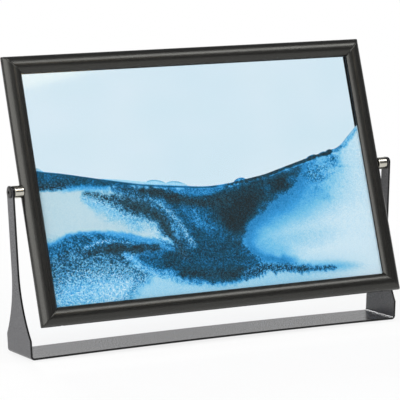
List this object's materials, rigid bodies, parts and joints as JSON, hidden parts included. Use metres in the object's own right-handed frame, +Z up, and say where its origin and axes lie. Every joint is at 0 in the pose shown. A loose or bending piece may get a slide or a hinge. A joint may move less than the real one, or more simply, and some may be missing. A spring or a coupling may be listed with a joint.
{
  "type": "moving sand picture",
  "caption": "Framed glass cell of liquid and layered sand that turns end over end on side pivots in a bent sheet stand, so the sand falls into new drifts.",
  "frame": {"origin": "on the table, under the middle of the pivot axis", "axes": "+Z up, +X along the pivot axis to the right as seen from the front, the front faces -Y"},
  "size_m": [0.3242, 0.0694, 0.2167],
  "materials": {
    "satin_bronze": "satin",
    "powder_coat": "satin",
    "nickel": "polished",
    "black_steel": "satin",
    "zinc_steel": "satin",
    "nylon": "matte",
    "pad_rubber": "matte",
    "cell_seal": "matte",
    "clear_glass": "polished",
    "pale_blue_liquid": "polished",
    "pale_sand": "matte",
    "dark_sand": "matte"
  },
  "bodies": {
    "stand": {"stand_bracket": "powder_coat", "foot_pad_front_left": "pad_rubber", "foot_pad_front_right": "pad_rubber", "foot_pad_rear_left": "pad_rubber", "foot_pad_rear_right": "pad_rubber", "pivot_bush_left": "nylon", "pivot_bush_right": "nylon", "pivot_washer_left": "nylon", "pivot_washer_right": "nylon"},
    "picture": {"frame_rail_top": "satin_bronze", "frame_rail_bottom": "satin_bronze", "frame_rail_left": "satin_bronze", "frame_rail_right": "satin_bronze", "corner_key_top_left": "zinc_steel", "corner_key_top_right": "zinc_steel", "corner_key_bottom_left": "zinc_steel", "corner_key_bottom_right": "zinc_steel", "corner_screw_top_left": "black_steel", "corner_screw_top_right": "black_steel", "corner_screw_bottom_left": "black_steel", "corner_screw_bottom_right": "black_steel", "front_glass": "clear_glass", "rear_glass": "clear_glass", "cell_spacer": "cell_seal", "fill_plug": "cell_seal", "liquid_fill": "pale_blue_liquid", "dark_sand": "dark_sand", "pale_sand_left": "pale_sand", "pale_sand_right": "pale_sand", "pale_sand_floor": "pale_sand", "pivot_sleeve_left": "nickel", "pivot_sleeve_right": "nickel", "pivot_screw_left": "black_steel", "pivot_screw_right": "black_steel", "pivot_nut_left": "zinc_steel", "pivot_nut_right": "zinc_steel"}
  },
  "joints": [
    {"name": "frame_turn", "type": "hinge", "parent": "stand", "child": "picture", "pos_m": [0, 0, 0.1214], "axis": [1, 0, 0], "continuous": true}
  ]
}
